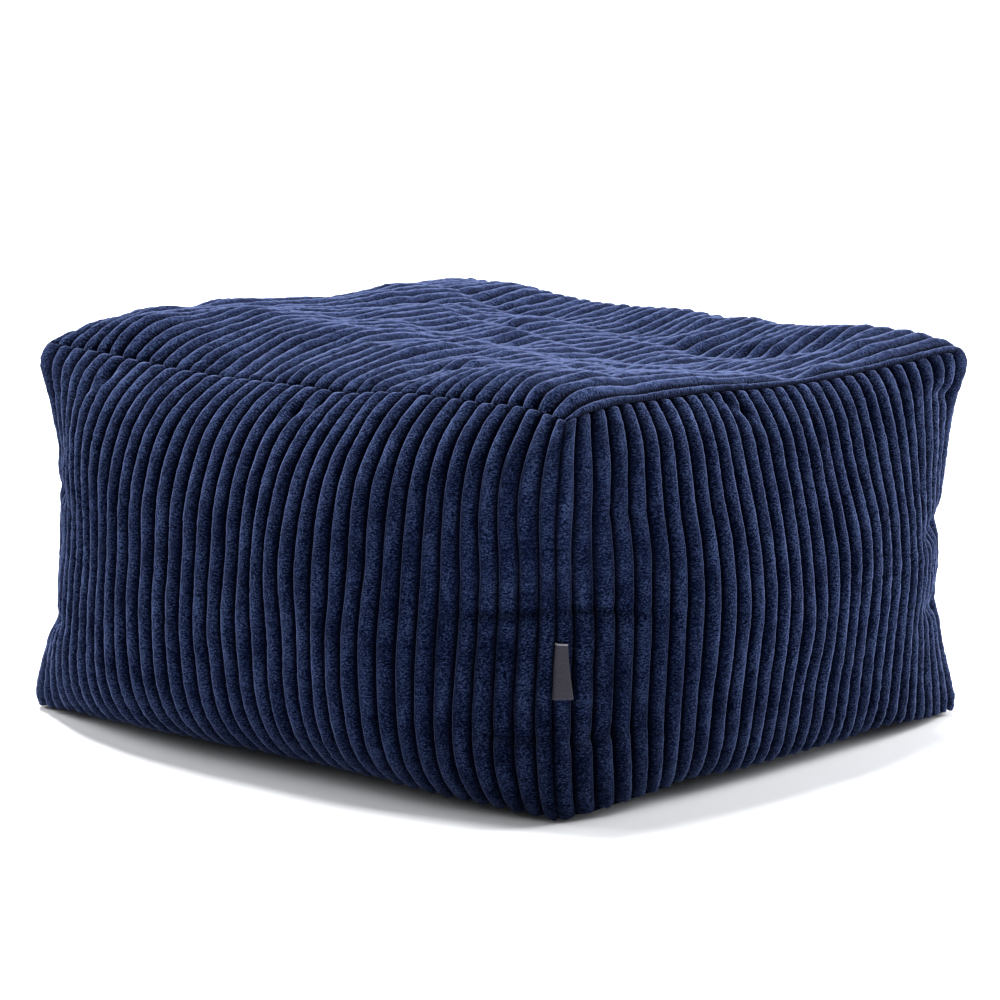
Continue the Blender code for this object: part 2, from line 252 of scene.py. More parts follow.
# Where the filling has sunk or the cloth has creased, in metres: the place on the panel across and along
# its wales from its middle, the crease's heading in degrees from the wales' crossing direction, its half
# length and half width, and how deep it is. A negative depth is a ridge.
Crease = namedtuple("Crease", "across along heading half_length half_width depth")
CREASES = {
    "front": (
        Crease(0.250, 0.003, heading=3, half_length=0.050, half_width=0.0038, depth=0.0050),
        Crease(0.262, -0.092, heading=-5, half_length=0.030, half_width=0.006, depth=0.0042),
        Crease(0.205, -0.030, heading=80, half_length=0.050, half_width=0.010, depth=0.0033),
        Crease(-0.262, -0.070, heading=6, half_length=0.028, half_width=0.007, depth=0.0060),
        Crease(-0.258, 0.040, heading=-8, half_length=0.026, half_width=0.007, depth=0.0045),
        Crease(-0.19, 0.145, heading=55, half_length=0.022, half_width=0.007, depth=0.0036),
        Crease(0.03, 0.150, heading=40, half_length=0.020, half_width=0.006, depth=0.0030),
    ),
    "right": (
        Crease(-0.216, 0.004, heading=-5, half_length=0.040, half_width=0.0038, depth=0.0050),
        Crease(-0.214, -0.094, heading=6, half_length=0.034, half_width=0.006, depth=0.0042),
        Crease(-0.190, 0.075, heading=-4, half_length=0.020, half_width=0.006, depth=0.0024),
        Crease(0.205, 0.012, heading=8, half_length=0.034, half_width=0.007, depth=0.0051),
        Crease(0.210, -0.055, heading=-6, half_length=0.030, half_width=0.007, depth=0.0045),
        Crease(0.215, 0.120, heading=-20, half_length=0.022, half_width=0.006, depth=0.0039),
        Crease(-0.05, 0.150, heading=-45, half_length=0.022, half_width=0.006, depth=0.0033),
    ),
    "back": (),
    "left": (),
    "top": (
        Crease(-0.05, 0.065, heading=-8, half_length=0.13, half_width=0.012, depth=0.0035),
        Crease(0.10, 0.130, heading=6, half_length=0.12, half_width=0.013, depth=0.0040),
        Crease(-0.12, 0.150, heading=-5, half_length=0.10, half_width=0.012, depth=0.0035),
        Crease(0.16, -0.02, heading=12, half_length=0.08, half_width=0.011, depth=0.0030),
        Crease(0.20, -0.13, heading=-20, half_length=0.06, half_width=0.010, depth=0.0030),
        Crease(0.13, -0.175, heading=15, half_length=0.05, half_width=0.009, depth=0.0030),
    ),
    "base": (),
}


class CoverSettings(bpy.types.PropertyGroup):
    """Sizes and colours of the cord cover."""

    wale_width: FloatProperty(
        name="Wale width", description="Distance from one groove of the cord to the next",
        default=0.0151, min=0.005, max=0.03, unit="LENGTH")
    groove_depth: FloatProperty(
        name="Groove depth", description="How far the grooves lie below the top of the pile",
        default=0.0060, min=0.001, max=0.01, unit="LENGTH")
    ground_share: FloatProperty(
        name="Ground share", description="Share of a wale's width that is bare weave in the groove",
        default=0.08, min=0.0, max=0.5, subtype="FACTOR")
    wale_squareness: FloatProperty(
        name="Wale squareness", description="Higher values give flatter wales with narrower grooves",
        default=2.1, min=1.5, max=6.0)
    end_radius: FloatProperty(
        name="End radius", description="How far from a seam the ends of the wales start to round down",
        default=0.0045, min=0.002, max=0.03, unit="LENGTH")
    end_drop: FloatProperty(
        name="End drop", description="How flat the ends of the wales are pressed at a seam",
        default=0.70, min=0.0, max=1.0, subtype="FACTOR")
    seam_tuck: FloatProperty(
        name="Seam tuck", description="How far the seams are drawn in below the grooves",
        default=0.0002, min=0.0, max=0.01, unit="LENGTH")
    seam_fullness: FloatProperty(
        name="Seam fullness", description="How far the cloth beside the upright seams stands proud",
        default=0.0040, min=0.0, max=0.01, unit="LENGTH")
    wander: FloatProperty(
        name="Wander", description="How far the wales stray sideways",
        default=0.0009, min=0.0, max=0.005, unit="LENGTH")
    lumps: FloatProperty(
        name="Lumps", description="Height of the soft lumps that the beads make",
        default=0.0020, min=0.0, max=0.005, unit="LENGTH")
    unevenness: FloatProperty(
        name="Unevenness", description="How far the cloth and its seams stray over short distances",
        default=0.0004, min=0.0, max=0.005, unit="LENGTH")
    crush: FloatProperty(
        name="Crush", description="How unevenly the pile is brushed and crushed",
        default=0.0005, min=0.0, max=0.002, unit="LENGTH")
    pile_light: FloatVectorProperty(
        name="Raised pile", description="Colour of pile that stands up to the light",
        subtype="COLOR", size=3, default=(0.027, 0.041, 0.095), min=0.0, max=1.0)
    pile_mid: FloatVectorProperty(
        name="Pile", description="Main colour of the pile",
        subtype="COLOR", size=3, default=(0.0033, 0.0068, 0.0245), min=0.0, max=1.0)
    pile_dark: FloatVectorProperty(
        name="Crushed pile", description="Colour of pile that lies away from the light",
        subtype="COLOR", size=3, default=(0.0002, 0.0010, 0.0068), min=0.0, max=1.0)
    # A painted sheen: the lighter colour that the pile's colour is mixed towards where it is seen side-on.
    pile_sheen: FloatVectorProperty(
        name="Pile sheen", description="Colour of pile that is seen from the side",
        subtype="COLOR", size=3, default=(0.052, 0.067, 0.135), min=0.0, max=1.0)
    # Partly painted shade: the groove bottoms' colour is darker than the bare weave, to stand for the shade
    # that falls in the grooves.
    ground_weave_and_shade: FloatVectorProperty(
        name="Ground weave", description="Colour of the weave at the bottom of the grooves",
        subtype="COLOR", size=3, default=(0.0001, 0.0007, 0.0050), min=0.0, max=1.0)


class LabelSettings(bpy.types.PropertyGroup):
    """Sizes and colours of the folded side label."""

    height: FloatProperty(
        name="Height", description="Height of the label along its seam",
        default=0.0420, min=0.01, max=0.1, unit="LENGTH")
    low_width: FloatProperty(
        name="Lower width", description="How far the label's lower end stands out from the seam",
        default=0.0132, min=0.005, max=0.05, unit="LENGTH")
    high_width: FloatProperty(
        name="Upper width", description="How far the label's upper end stands out from the seam",
        default=0.0082, min=0.005, max=0.05, unit="LENGTH")
    sewn_in: FloatProperty(
        name="Sewn in", description="How much of each end of the tape is held inside the seam",
        default=0.0030, min=0.001, max=0.01, unit="LENGTH")
    thickness: FloatProperty(
        name="Tape thickness", description="Thickness of the woven tape",
        default=0.0004, min=0.0001, max=0.001, unit="LENGTH")
    face: FloatVectorProperty(
        name="Tape", description="Colour of the woven tape",
        subtype="COLOR", size=3, default=(0.030, 0.028, 0.038), min=0.0, max=1.0)
    edge: FloatVectorProperty(
        name="Tape edge", description="Colour of the light thread along the folded end",
        subtype="COLOR", size=3, default=(0.28, 0.28, 0.30), min=0.0, max=1.0)


class StageSettings(bpy.types.PropertyGroup):
    """The camera, the floor and the lights."""

    azimuth: FloatProperty(
        name="Azimuth", description="Direction that the footstool is seen from, round from the front",
        subtype="ANGLE", default=math.radians(42.85))
    elevation: FloatProperty(
        name="Elevation", description="Height of the camera over the horizon",
        subtype="ANGLE", default=math.radians(10.657))
    distance: FloatProperty(
        name="Distance", description="Distance from the camera to the middle of the footstool",
        default=3.7996, min=0.5, max=20.0, unit="LENGTH")
    look_height: FloatProperty(
        name="Look height", description="Height of the point that the camera looks at",
        default=0.1727, min=0.0, max=1.0, unit="LENGTH")
    lens: FloatProperty(
        name="Lens", description="Focal length of the camera in millimetres",
        default=169.7, min=20.0, max=300.0)
    floor_size: FloatProperty(
        name="Floor size", description="Length of each side of the floor",
        default=60.0, min=2.0, max=200.0, unit="LENGTH")
    room_light: FloatProperty(
        name="Room light", description="Strength of the even white light from all round",
        default=0.24, min=0.0, max=5.0)
    side_light: FloatProperty(
        name="Side light", description="Power of the large light at the right; the left one follows it",
        default=290.0, min=0.0, max=1000.0, unit="POWER")
    sky_light: FloatProperty(
        name="Overhead light", description="Strength of the soft light from high behind the footstool",
        default=15.0, min=0.0, max=20.0)


def run(along, turn):
    """Straight distance covered by a unit of cloth that turns by turn * along ** 1.5."""
    way = np.abs(along)
    distance = way - turn ** 2 * way ** 4 / 8 + turn ** 4 * way ** 7 / 168
    return np.sign(along) * distance


def fall(along, turn):
    """How far that cloth falls back from its middle, by the same distance along it."""
    way = np.abs(along)
    return turn * way ** 2.5 / 2.5 - turn ** 3 * way ** 5.5 / 33 + turn ** 5 * way ** 8.5 / 1020


def smooth_table(columns, rows, smoothing, across, line):
    """Read a table of heights in millimetres at places between its columns and lines, in metres."""
    table_lines = np.repeat([row["line"] for row in rows], len(columns))
    table_columns = np.tile(columns, len(rows))
    heights = np.ravel([row["heights"] for row in rows]) / 1000.0
    mean = heights.mean()

    def closeness(x, y):
        spans = np.subtract.outer(x, table_columns) ** 2 + np.subtract.outer(y, table_lines) ** 2
        return np.exp(-spans / (2 * smoothing ** 2))

    matrix = closeness(table_columns, table_lines) + 0.001 * np.eye(len(heights))
    weights = np.linalg.solve(matrix, heights - mean)
    return mean + closeness(across, line) @ weights


def top_height(a, b):
    """Height of the top panel over its seam, with the soft shoulder that rises from the seam."""
    swell = smooth_table(TOP_COLUMNS, TOP_HEIGHTS, TOP_SMOOTHING, a, b)
    to_x_seam = (1 - np.abs(a)) * TOP_WIDTH / 2
    to_y_seam = (1 - np.abs(b)) * TOP_DEPTH / 2
    shoulder = (1 - np.exp(-to_x_seam / SHOULDER_RADIUS)) * (1 - np.exp(-to_y_seam / SHOULDER_RADIUS))
    return swell * shoulder


def base_height(a, b):
    """Height of the base panel over the ground: flat, with a seam that lifts between the corners."""
    lift = np.zeros_like(a)
    for name, side, gap, along in (
            ("front", b < 0, (1 + b) * TOP_DEPTH / 2, a),
            ("back", b > 0, (1 - b) * TOP_DEPTH / 2, a),
            ("left", a < 0, (1 + a) * TOP_WIDTH / 2, b),
            ("right", a > 0, (1 - a) * TOP_WIDTH / 2, b)):
        rise = SEAM_LEVELS[name]["base_lift"] / 1000.0 * (1 - along ** 4)
        lift = np.maximum(lift, np.where(side, rise * np.clip(1 - gap / BASE_EDGE_RADIUS, 0, 1) ** 2, 0))
    return lift


def seam_level(a, b, c):
    """How far the level seams lift or dip a place near them."""
    flat = np.zeros_like(a)
    level = np.zeros_like(a)
    for name, nearness, along in (
            ("front", (1 - b) / 2, a), ("back", (1 + b) / 2, a),
            ("left", (1 - a) / 2, b), ("right", (1 + a) / 2, b)):
        row = ({"line": 0.0, "heights": SEAM_LEVELS[name]["top"]},)
        from_corners = 1 - along ** 12
        level += smooth_table(SEAM_COLUMNS, row, SEAM_SMOOTHING, along, flat) * from_corners * nearness ** 8
    return level * ((1 + c) / 2) ** 4


def base_bow(a, b, c):
    """How far the lower part of the bag bows outwards between its corners, along X and along Y."""
    low = BASE_BOW * ((1 - c) / 2) ** 5
    along_x = np.sign(a) * np.abs(a) ** 4 * (1 - b ** 6) * low
    along_y = np.sign(b) * np.abs(b) ** 4 * (1 - a ** 6) * low
    return along_x, along_y


def panel_fullness(c):
    """How full a side panel is at a height: 0 at its level seams and 1 at the middle."""
    return 1 - fall(c, TURN_TO_LEVEL_SEAM) / fall(1.0, TURN_TO_LEVEL_SEAM)


def side_swells(a, b, c):
    """How far the side panels swell beyond their even form, along X and along Y."""
    swell = {name: smooth_table(SIDE_COLUMNS, rows, SIDE_SMOOTHING, b if name in ("left", "right") else a, c)
             for name, rows in SIDE_SWELLS.items()}
    fullness = panel_fullness(c)
    along_x = np.where(a < 0, swell["left"], swell["right"]) * fullness
    along_y = np.where(b < 0, swell["front"], swell["back"]) * fullness
    return along_x, along_y


def even_sides(panel, a, b, c):
    """The side panels, bulged and drawn in at the upright seams."""
    turn = TURN_TO_UPRIGHT_SEAM * panel_fullness(c)
    swell_x, swell_y = side_swells(a, b, c)
    corner_x = TOP_WIDTH / 2 * run(1.0, turn)
    corner_y = TOP_DEPTH / 2 * run(1.0, turn)
    bulge_x = TOP_DEPTH / 2 * (fall(1.0, turn) - fall(b, turn))
    bulge_y = TOP_WIDTH / 2 * (fall(1.0, turn) - fall(a, turn))
    if panel in ("front", "back"):
        x = TOP_WIDTH / 2 * run(a, turn) + np.sign(a) * swell_x * np.abs(a) ** 4
        y = np.sign(b) * (corner_y + bulge_y + swell_y)
    else:
        x = np.sign(a) * (corner_x + bulge_x + swell_x)
        y = TOP_DEPTH / 2 * run(b, turn) + np.sign(b) * swell_y * np.abs(b) ** 4
    z = SEAM_HEIGHT / 2 * (1 + run(c, TURN_TO_LEVEL_SEAM) / run(1.0, TURN_TO_LEVEL_SEAM))
    return x, y, z + base_height(a, b) * ((1 - c) / 2) ** 6


def cube_places(panel, across, along):
    """Places on a cube from -1 to +1 for places on one panel, across its wales and along them."""
    face = np.ones_like(across)
    return {
        "front": (across, -face, along),
        "back": (-across, face, along),
        "right": (face, across, along),
        "left": (-face, -across, along),
        "top": (across, along, face),
        "base": (across, -along, -face),
    }[panel]


def panel_surface(panel, across, along):
    """Places on the filled bag for places on one panel, from -1 to +1 across and along its wales."""
    a, b, c = cube_places(panel, across, along)
    if panel == "top":
        x, y, z = TOP_WIDTH / 2 * a, TOP_DEPTH / 2 * b, SEAM_HEIGHT + top_height(a, b)
    elif panel == "base":
        x, y, z = TOP_WIDTH / 2 * a, TOP_DEPTH / 2 * b, base_height(a, b)
    else:
        x, y, z = even_sides(panel, a, b, c)
    bow_x, bow_y = base_bow(a, b, c)
    x, y, z = x + bow_x, y + bow_y, z + seam_level(a, b, c)
    for row in CORNER_PULLS:
        side_x, side_y, side_z = row["corner"]
        nearness = ((1 + a * side_x) * (1 + b * side_y) * (1 + c * side_z) / 8) ** 2
        pull_x, pull_y, pull_z = row["pull"]
        x = x + nearness * pull_x / 1000.0
        y = y + nearness * pull_y / 1000.0
        z = z + nearness * pull_z / 1000.0
    for dip in SEAM_DIPS:
        seam_x = dip["x_side"] * TOP_WIDTH / 2 * DIP_SEAM_PLACE
        seam_y = dip["y_side"] * TOP_DEPTH / 2 * DIP_SEAM_PLACE
        nearness = np.exp(-((x - seam_x) ** 2 + (y - seam_y) ** 2) / dip["reach"] ** 2)
        level = np.exp(-((z - dip["height"]) / dip["half_height"]) ** 2)
        pull = dip["depth"] * nearness * level * np.sqrt(0.5)
        x = x - dip["x_side"] * pull
        y = y - dip["y_side"] * pull
    return np.stack((x + MIDDLE_SHIFT[0], y + MIDDLE_SHIFT[1], z), axis=-1)


def soft_noise(x, y, seed):
    """Smooth noise from -1 to +1 at places counted in cells."""
    cells = np.random.default_rng(seed).uniform(-1, 1, (NOISE_CELLS, NOISE_CELLS))
    column, row = np.floor(x).astype(int), np.floor(y).astype(int)
    part_x, part_y = x - column, y - row
    ease_x, ease_y = part_x ** 2 * (3 - 2 * part_x), part_y ** 2 * (3 - 2 * part_y)
    near, far = column % NOISE_CELLS, (column + 1) % NOISE_CELLS
    low, high = row % NOISE_CELLS, (row + 1) % NOISE_CELLS
    lower = cells[near, low] * (1 - ease_x) + cells[far, low] * ease_x
    upper = cells[near, high] * (1 - ease_x) + cells[far, high] * ease_x
    return lower * (1 - ease_y) + upper * ease_y


def wave_noise(across, along, waves, seed):
    """Smooth noise from -1 to +1 whose cells have the waves' size across and along the wales."""
    return soft_noise(across / waves.across, along / waves.along, seed)


def soft_field(points, seed):
    """Smooth sideways shifts in three directions, from -1 to +1, at points counted in cells."""
    cells = np.random.default_rng(seed).uniform(-1, 1, (FIELD_CELLS, FIELD_CELLS, FIELD_CELLS, 3))
    corner = np.floor(points).astype(int)
    part = points - corner
    ease = part ** 2 * (3 - 2 * part)
    shift = np.zeros_like(points)
    for step in np.ndindex(2, 2, 2):
        share = np.prod(np.where(step, ease, 1 - ease), axis=-1, keepdims=True)
        shift += share * cells[tuple(np.moveaxis((corner + step) % FIELD_CELLS, -1, 0))]
    return shift


def groove_places(cut, wale_width):
    """Distances of the grooves from a panel's first seam, with its two seams at the ends."""
    places = [0.0]
    groove = cut.first * wale_width
    while groove < cut.width - NARROWEST_WALE * wale_width:
        places.append(groove)
        groove += wale_width
    places.append(cut.width)
    return np.array(places)


def crowd(places, crowding):
    """Move evenly spaced places from -1 to +1 closer together near the two ends."""
    return (1 - crowding) * places + crowding * np.sin(places * np.pi / 2)


def wale_columns(grooves, steps):
    """Distances of the mesh's columns from the first seam, and each one's place in its wale, -1 to +1."""
    in_wale = -np.cos(np.linspace(0, np.pi, steps + 1))
    middles, halves = (grooves[1:] + grooves[:-1]) / 2, (grooves[1:] - grooves[:-1]) / 2
    columns = (middles[:, None] + halves[:, None] * in_wale[:-1]).ravel()
    places = np.tile(in_wale[:-1], len(middles))
    shares = np.repeat(halves * 2, steps)
    return np.append(columns, grooves[-1]), np.append(places, 1.0), np.append(shares, halves[-1] * 2)


def surface_normals(points):
    """Outward directions at the points of a grid whose axes run across and along the wales."""
    normals = np.cross(np.gradient(points, axis=0), np.gradient(points, axis=1))
    return normals / np.linalg.norm(normals, axis=-1, keepdims=True)


def seam_directions(panel, across, along):
    """Outward directions that two panels share at their seam, for places near it."""
    corner = np.stack(cube_places(panel, across, along), axis=-1) ** SEAM_SHARPNESS
    return corner / np.linalg.norm(corner, axis=-1, keepdims=True)


def crease_depths(panel, across, along):
    """How far the creases of a panel sink it, for distances from its middle."""
    depth = np.zeros_like(across)
    for crease in CREASES[panel]:
        turn = math.radians(crease.heading)
        from_x, from_y = across - crease.across, along - crease.along
        lengthwise = from_x * math.cos(turn) + from_y * math.sin(turn)
        crosswise = from_y * math.cos(turn) - from_x * math.sin(turn)
        fade = np.exp(-(lengthwise / crease.half_length) ** 2 - (crosswise / crease.half_width) ** 2)
        depth += crease.depth * fade
    return depth


def lumpy_surface(panel, across, along, settings):
    """Places on the bag with the soft lumps that the beads make under the cloth."""
    points = panel_surface(panel, across.ravel(), along.ravel()).reshape(across.shape + (3,))
    lumps = settings.lumps * soft_field(points / LUMP_SIZE, 1)
    return points + lumps + settings.unevenness * soft_field(points / SHIFT_SIZE, 2)


def side_fullness(to_side, to_end, settings):
    """How far the cloth beside a seam that runs with the wales stands proud."""
    fade = np.exp(-to_side / FULLNESS_REACH) * np.clip(to_end / FULLNESS_END, 0, 1)
    return settings.seam_fullness * fade


def wale_heights(cut, in_wale, wale_share, across, along, settings, seed):
    """Height of the pile, from 0 in the grooves to 1 on the crests, with its ridges and rounded ends."""
    to_end = cut.length / 2 - np.abs(along)
    from_crest = np.abs(in_wale) / (1 - settings.ground_share)
    ridge = (1 - np.minimum(from_crest, 1) ** settings.wale_squareness) ** 0.5
    end = np.sqrt(1 - settings.end_drop * (1 - np.clip(to_end / settings.end_radius, 0, 1)) ** 2)
    evenness = 1 + WALE_HEIGHTS.share * wave_noise(across, along, WALE_HEIGHTS, seed)
    narrowness = np.clip(wale_share / settings.wale_width, 0, 1)[:, None] ** NARROW_WALE_POWER
    return ridge * end * np.minimum(evenness, TALLEST_WALE) * narrowness, ridge, end


def cord_panel_points(panel, settings):
    """The grid of points of one cord panel, with each point's place on the cut cloth and height of pile."""
    cut = PANELS[panel]
    seed = sorted(PANELS).index(panel) * 10
    half_width, half_length = cut.width / 2, cut.length / 2
    grooves = groove_places(cut, settings.wale_width)
    columns, in_wale, wale_share = wale_columns(grooves, cut.steps)
    rows = crowd(np.linspace(-1, 1, cut.rows + 1), ROW_CROWDING)
    across, along = np.meshgrid(columns - half_width, rows * half_length, indexing="ij")
    in_wale = np.broadcast_to(in_wale[:, None], across.shape)
    to_side = half_width - np.abs(across)
    to_end = half_length - np.abs(along)
    to_seam = np.minimum(to_side, to_end)

    straying = sum(waves.share * wave_noise(across, along, waves, seed + 1 + order)
                   for order, waves in enumerate(STRAYING))
    sideways = settings.wander * straying * np.clip(to_side / STRAY_MARGIN, 0, 1)
    surface_across = np.clip((across + sideways) / half_width, -1, 1)
    points = lumpy_surface(panel, surface_across, along / half_length, settings)
    at_seam = seam_directions(panel, surface_across, along / half_length)
    nearness = np.exp(-to_seam / SEAM_BLEND)[..., None]
    outward = surface_normals(points) * (1 - nearness) + at_seam * nearness
    outward /= np.linalg.norm(outward, axis=-1, keepdims=True)

    height, ridge, end = wale_heights(cut, in_wale, wale_share, across, along, settings, seed + 3)
    if panel == "base":
        height = height * np.clip((to_seam - BASE_FLAT_EDGE) / BASE_FLAT_FADE, 0, 1)
    ripples = cut.ripple * wave_noise(across, along, RIPPLES, seed + 4)
    waves = (ripples - crease_depths(panel, across, along)) * np.clip(to_seam / SEAM_CALM, 0, 1)
    crush = settings.crush * ridge * end * sum(
        crushing.share * wave_noise(across, along, crushing, seed + 6 + order)
        for order, crushing in enumerate(CRUSHING))
    tuck = settings.seam_tuck * np.exp(-to_seam / TUCK_REACH)
    fullness = side_fullness(to_side, to_end, settings)
    lift = (height - 1) * settings.groove_depth - tuck + fullness + waves + crush
    points = points + outward * lift[..., None]
    if panel == "base":
        points[..., 2] = np.maximum(points[..., 2], GROUND_CLEARANCE)
    cloth_places = np.stack((across + half_width, along + half_length), axis=-1)
    return points, cloth_places, ridge


def make_grid_mesh(name, points, cloth_places, pile):
    """A mesh of quads from a grid of points, with the cloth places as its UV map."""
    bm = bmesh.new()
    bmesh.ops.create_grid(bm, x_segments=points.shape[0] - 1, y_segments=points.shape[1] - 1, size=1.0)
    mesh = bpy.data.meshes.new(name)
    bm.to_mesh(mesh)
    bm.free()
    flat = np.empty(len(mesh.vertices) * 3)
    mesh.vertices.foreach_get("co", flat)
    spots = (flat.reshape(-1, 3)[:, :2] + 1) / 2 * (np.array(points.shape[:2]) - 1)
    column, row = np.rint(spots).astype(int).T
    mesh.vertices.foreach_set("co", points[column, row].ravel())
    corners = np.empty(len(mesh.loops), dtype=int)
    mesh.loops.foreach_get("vertex_index", corners)
    weave = mesh.uv_layers.new(name="weave")
    weave.data.foreach_set("uv", cloth_places[column, row][corners].ravel())
    heights = mesh.attributes.new(name="pile", type="FLOAT", domain="POINT")
    heights.data.foreach_set("value", pile[column, row].astype(float))
    mesh.shade_smooth()
    mesh.update()
    return mesh


def new_object(name, mesh, material):
    """Link a mesh to the scene as an object with its material."""
    mesh.materials.append(material)
    item = bpy.data.objects.new(name, mesh)
    bpy.context.scene.collection.objects.link(item)
    return item


def new_material(name):
    """A material with a shader, and its node tree."""
    material = bpy.data.materials.new(name)
    material.use_nodes = True
    return material, material.node_tree, material.node_tree.nodes["Principled BSDF"]


def noise_node(tree, vector, scale, detail, roughness):
    """A noise texture read at a vector."""
    node = tree.nodes.new("ShaderNodeTexNoise")
    node.inputs["Scale"].default_value = scale
    node.inputs["Detail"].default_value = detail
    node.inputs["Roughness"].default_value = roughness
    tree.links.new(vector, node.inputs["Vector"])
    return node.outputs["Fac"]


def tuft_node(tree, vector):
    """Rounded tufts of pile, one to each cell of a vector."""
    node = tree.nodes.new("ShaderNodeTexVoronoi")
    node.inputs["Scale"].default_value = 1.0
    tree.links.new(vector, node.inputs["Vector"])
    return math_node(tree, "SUBTRACT", 1.0, node.outputs["Distance"])


def weave_places(tree):
    """Places on the cut cloth or tape, in metres, as a vector."""
    node = tree.nodes.new("ShaderNodeUVMap")
    node.uv_map = "weave"
    return node.outputs["UV"]


def stretched(tree, vector, scale):
    """A vector stretched by a scale along each axis."""
    node = tree.nodes.new("ShaderNodeVectorMath")
    node.operation = "MULTIPLY"
    node.inputs[1].default_value = scale
    tree.links.new(vector, node.inputs[0])
    return node.outputs["Vector"]


def math_node(tree, operation, first, second):
    """A math node on two values, each a socket or a number."""
    node = tree.nodes.new("ShaderNodeMath")
    node.operation = operation
    for socket, value in zip(node.inputs, (first, second)):
        if isinstance(value, (int, float)):
            socket.default_value = value
        else:
            tree.links.new(value, socket)
    return node.outputs["Value"]


def blend_values(tree, first, second, second_share):
    """Two values mixed by the share of the second."""
    first_part = math_node(tree, "MULTIPLY", first, 1 - second_share)
    return math_node(tree, "ADD", first_part, math_node(tree, "MULTIPLY", second, second_share))


def fade_node(tree, value, limits, top=1.0):
    """A value turned into 0 at the lower of two limits and a top at the upper."""
    low, high = limits
    return ramp_node(tree, value, ((low, (0.0, 0.0, 0.0)), (high, (top, top, top))))


def ramp_node(tree, value, stops):
    """A colour ramp over a value; stops are pairs of place and colour."""
    node = tree.nodes.new("ShaderNodeValToRGB")
    ramp = node.color_ramp
    while len(ramp.elements) < len(stops):
        ramp.elements.new(0.5)
    for element, (place, colour) in zip(ramp.elements, stops):
        element.position = place
        element.color = (*colour, 1.0)
    tree.links.new(value, node.inputs["Fac"])
    return node.outputs["Color"]


def mix_colours(tree, factor, first, second):
    """Mix two colours by a factor; each colour is a socket or three numbers."""
    node = tree.nodes.new("ShaderNodeMix")
    node.data_type = "RGBA"
    tree.links.new(factor, node.inputs["Factor"])
    for socket, value in ((node.inputs[6], first), (node.inputs[7], second)):
        if hasattr(value, "is_linked"):
            tree.links.new(value, socket)
        else:
            socket.default_value = (*value, 1.0)
    return node.outputs[2]


def bump_node(tree, height, strength, distance):
    """A bump of a height's relief."""
    node = tree.nodes.new("ShaderNodeBump")
    node.inputs["Strength"].default_value = strength
    node.inputs["Distance"].default_value = distance
    tree.links.new(height, node.inputs["Height"])
    return node.outputs["Normal"]


def cord_material(settings):
    """Brushed wide-wale cord: tufts, crushed spots, brushed patches, dark weave and painted shade in the
    grooves, and a painted side sheen.
    """
    material, tree, shader = new_material("cord")
    cloth = weave_places(tree)
    tufts = tuft_node(tree, stretched(tree, cloth, TUFTS_PER_METRE))
    crushed = noise_node(tree, stretched(tree, cloth, CRUSHED_PER_METRE), 1.0, 3.0, 0.7)
    patches = noise_node(tree, stretched(tree, cloth, PATCHES_PER_METRE), 1.0, 4.0, 0.6)
    fine = blend_values(tree, tufts, crushed, CRUSHED_SHARE)
    shade = blend_values(tree, fine, patches, PATCHES_SHARE)
    stops = zip(PILE_SHADES, (settings.pile_dark, settings.pile_mid, settings.pile_light))
    pile_colour = ramp_node(tree, shade, [(place, tuple(colour)) for place, colour in stops])
    pile = tree.nodes.new("ShaderNodeAttribute")
    pile.attribute_name = "pile"
    # Painted shade: low pile takes the dark ground colour, which stands partly for the bare weave and partly
    # for the shade in the grooves.
    out_of_groove_shade = fade_node(tree, pile.outputs["Fac"], PILE_OUT_OF_GROOVE_SHADE)
    # Painted sheen: pile seen side-on and standing above the groove is mixed towards a lighter sheen colour.
    edge = tree.nodes.new("ShaderNodeLayerWeight")
    edge.inputs["Blend"].default_value = 0.5
    side_sheen = fade_node(tree, edge.outputs["Facing"], SHEEN_BY_SIDE, MOST_SHEEN)
    above_ground = fade_node(tree, pile.outputs["Fac"], SHEEN_BY_HEIGHT)
    seen_from_side = math_node(tree, "MULTIPLY", side_sheen, above_ground)
    colour = mix_colours(tree, out_of_groove_shade, tuple(settings.ground_weave_and_shade), pile_colour)
    colour = mix_colours(tree, seen_from_side, colour, tuple(settings.pile_sheen))
    tree.links.new(colour, shader.inputs["Base Color"])
    shader.inputs["Roughness"].default_value = 0.95
    shader.inputs["Specular IOR Level"].default_value = 0.02
    shader.inputs["Sheen Weight"].default_value = 0.12
    shader.inputs["Sheen Roughness"].default_value = 0.35
    shader.inputs["Sheen Tint"].default_value = (0.30, 0.40, 0.85, 1.0)
    tree.links.new(bump_node(tree, fine, 1.0, PILE_RELIEF), shader.inputs["Normal"])
    return material


class FOOTSTOOL_OT_stage(bpy.types.Operator):
    """Set up the floor, the soft lights and the camera"""
    bl_idname = "footstool.stage"
    bl_label = "Stage"

    def execute(self, context):
        """Build the stage."""
        settings = context.scene.footstool_stage
        make_floor(settings)
        make_lights(settings)
        make_camera(settings)
        context.scene.view_settings.view_transform = "Standard"
        return {"FINISHED"}


def make_floor(settings):
    """A plain pale floor at the height that the footstool stands on."""
    material, _, shader = new_material("pale_floor")
    shader.inputs["Base Color"].default_value = (*FLOOR_COLOUR, 1.0)
    shader.inputs["Roughness"].default_value = 0.9
    shader.inputs["Specular IOR Level"].default_value = 0.1
    bm = bmesh.new()
    bmesh.ops.create_grid(bm, x_segments=4, y_segments=4, size=settings.floor_size / 2)
    mesh = bpy.data.meshes.new("floor")
    bm.to_mesh(mesh)
    bm.free()
    new_object("floor", mesh, material)


def make_area_light(name, place, power):
    """A large soft light that faces the footstool."""
    light = bpy.data.lights.new(name, "AREA")
    light.shape = "RECTANGLE"
    light.size, light.size_y = SIDE_LIGHT_SIZE
    light.energy = power
    item = bpy.data.objects.new(name, light)
    item.location = place
    item.rotation_euler = (Vector(LIGHT_AIM) - Vector(place)).to_track_quat("-Z", "Y").to_euler()
    bpy.context.scene.collection.objects.link(item)


